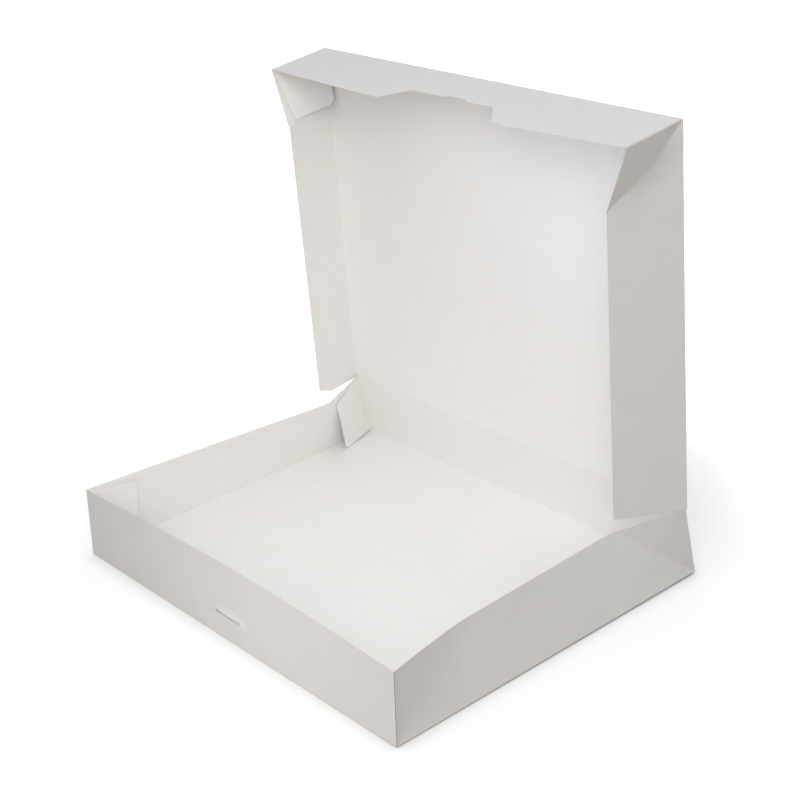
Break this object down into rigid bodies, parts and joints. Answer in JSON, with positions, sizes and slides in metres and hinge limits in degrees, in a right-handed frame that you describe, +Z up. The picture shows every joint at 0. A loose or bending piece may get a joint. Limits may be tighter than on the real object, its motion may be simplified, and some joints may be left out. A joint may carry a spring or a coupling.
{
  "type": "donut box",
  "caption": "Shallow folded paperboard bakery box, shown open, with glued gusset corners, sprung side walls and a hinged lid whose notched flap tucks over the front.",
  "frame": {"origin": "under the middle of the tray's floor, on the surface that the box stands on", "axes": "+X along the front wall to the right, +Y from the front wall to the hinge, +Z up"},
  "size_m": [0.3848, 0.2926, 0.3505],
  "materials": {
    "board": "matt white paperboard, lightly clay coated"
  },
  "bodies": {
    "tray": {"tray": "board"},
    "lid": {"lid": "board", "lid_left_wall": "board", "lid_right_wall": "board"}
  },
  "joints": [
    {"name": "lid_hinge", "type": "hinge", "parent": "tray", "child": "lid", "pos_m": [0, 0.13735, 0.05811], "axis": [1, 0, 0], "range_deg": [-100, 90], "deforming": ["lid_left_wall", "lid_right_wall"]}
  ]
}
